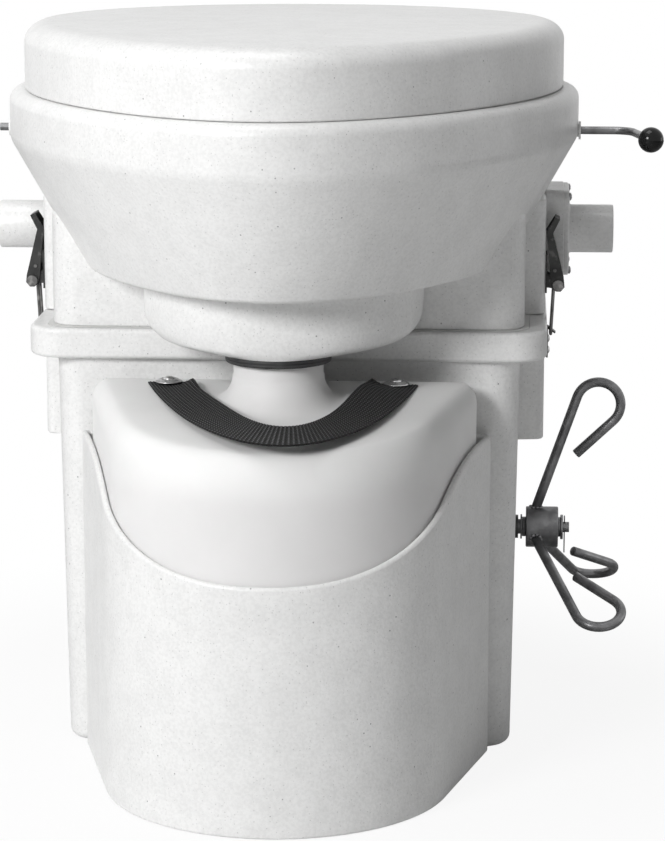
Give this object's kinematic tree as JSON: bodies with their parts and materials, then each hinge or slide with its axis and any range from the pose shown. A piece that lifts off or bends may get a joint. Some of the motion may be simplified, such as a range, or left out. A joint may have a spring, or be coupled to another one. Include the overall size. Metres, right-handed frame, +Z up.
{
  "type": "composting toilet",
  "caption": "Composting toilet with a stirred solids bin, tilting bowl housing with seat and lid, liquid bottle in a front cradle, draw latches, vent spigots and a trap-door lever.",
  "frame": {"origin": "middle plane of the toilet (x = 0) at floor level, under the front half of the bin", "axes": "+X to the right seen from the front, +Y to the back, +Z up; the front with the bottle faces -Y"},
  "size_m": [0.5221, 0.5318, 0.557],
  "materials": {
    "shell": "speckled rotomoulded shell, semi-gloss",
    "liner": "smooth moulded",
    "seat_white": "smooth moulded",
    "bottle_plastic": "milky translucent, blow-moulded",
    "rubber": "soft black",
    "dark_steel": "dark coated steel",
    "latch_steel": "worn dark steel",
    "stainless": "bright",
    "dark_plastic": "black moulded",
    "knob_black": "polished black ball",
    "webbing": "woven black webbing"
  },
  "bodies": {
    "base": {"base_bin": "shell", "base_seal": "rubber", "bottle_cradle": "shell", "cradle_screws": "stainless", "shaft_bushings": "dark_plastic", "rear_hinge_base": "shell", "rear_hinge_pins": "stainless", "latch_keepers": "latch_steel", "keeper_screws": "stainless"},
    "stirrer": {"stirrer_shaft": "dark_steel", "stirrer_tines": "stainless", "crank_hub": "dark_steel", "crank_arms": "dark_steel", "crank_washers": "dark_steel", "crank_cotter": "stainless", "shaft_collar": "stainless"},
    "top": {"top_housing": "shell", "liquid_sump": "shell", "outlet_gasket": "rubber", "bowl": "liner", "drain_tube": "liner", "rear_hinge_top": "shell", "lever_bushings": "dark_plastic", "seat_hinge_brackets": "seat_white", "seat_hinge_pins": "stainless", "bracket_screws": "stainless", "fan_housing": "shell", "fan_frame": "dark_plastic", "fan_screws": "dark_steel", "vent_spigot": "shell", "vent_screen": "stainless", "latch_plates": "latch_steel", "latch_rivets": "latch_steel"},
    "fan": {"fan_rotor": "dark_plastic"},
    "trap": {"trap_door": "liner", "trap_lever": "dark_steel", "trap_pivot": "dark_steel", "trap_knob": "knob_black"},
    "seat_body": {"seat": "seat_white", "seat_bumpers": "rubber"},
    "lid_body": {"lid": "shell"},
    "lever_right": {"latch_lever_right": "latch_steel"},
    "lever_left": {"latch_lever_left": "latch_steel"},
    "bail_right": {"latch_bail_right": "latch_steel"},
    "bail_left": {"latch_bail_left": "latch_steel"},
    "bottle_body": {"bottle": "bottle_plastic", "bottle_strap": "webbing", "strap_screws": "stainless", "strap_washers": "stainless"}
  },
  "joints": [
    {"name": "top_tilt", "type": "hinge", "parent": "base", "child": "top", "pos_m": [0, 0.232, 0.33], "axis": [-1, 0, 0], "range_deg": [0, 45]},
    {"name": "stirrer_spin", "type": "hinge", "parent": "base", "child": "stirrer", "pos_m": [0, 0.096, 0.1435], "axis": [1, 0, 0], "continuous": true},
    {"name": "fan_spin", "type": "hinge", "parent": "top", "child": "fan", "pos_m": [0.205, 0.095, 0.388], "axis": [1, 0, 0], "continuous": true},
    {"name": "trap_swing", "type": "hinge", "parent": "top", "child": "trap", "pos_m": [0, 0.038, 0.472], "axis": [1, 0, 0], "range_deg": [0, 66]},
    {"name": "seat_hinge", "type": "hinge", "parent": "top", "child": "seat_body", "pos_m": [0, 0.262, 0.512], "axis": [-1, 0, 0], "range_deg": [0, 95]},
    {"name": "lid_hinge", "type": "hinge", "parent": "seat_body", "child": "lid_body", "pos_m": [0, 0.262, 0.512], "axis": [-1, 0, 0], "range_deg": [0, 95]},
    {"name": "latch_right", "type": "hinge", "parent": "top", "child": "lever_right", "pos_m": [0.206, 0.045, 0.3515], "axis": [0, 1, 0], "range_deg": [0, 136]},
    {"name": "latch_left", "type": "hinge", "parent": "top", "child": "lever_left", "pos_m": [-0.206, 0.045, 0.3515], "axis": [0, -1, 0], "range_deg": [0, 136]},
    {"name": "bail_swing_right", "type": "hinge", "parent": "lever_right", "child": "bail_right", "pos_m": [0.2033, 0.045, 0.363], "axis": [0, 1, 0], "range_deg": [-166, 0]},
    {"name": "bail_swing_left", "type": "hinge", "parent": "lever_left", "child": "bail_left", "pos_m": [-0.2033, 0.045, 0.363], "axis": [0, -1, 0], "range_deg": [-166, 0]},
    {"name": "bottle_lift", "type": "slide", "parent": "base", "child": "bottle_body", "axis": [0, 0, 1], "range_m": [0, 0.2]}
  ],
  "couplings": [
    {"joint": "latch_right", "follows": "top_tilt", "ratio": 3},
    {"joint": "latch_left", "follows": "top_tilt", "ratio": 3},
    {"joint": "bail_swing_right", "follows": "top_tilt", "ratio": -3.6667},
    {"joint": "bail_swing_left", "follows": "top_tilt", "ratio": -3.6667},
    {"joint": "bottle_lift", "follows": "top_tilt", "m_per_rad": 0.23}
  ]
}
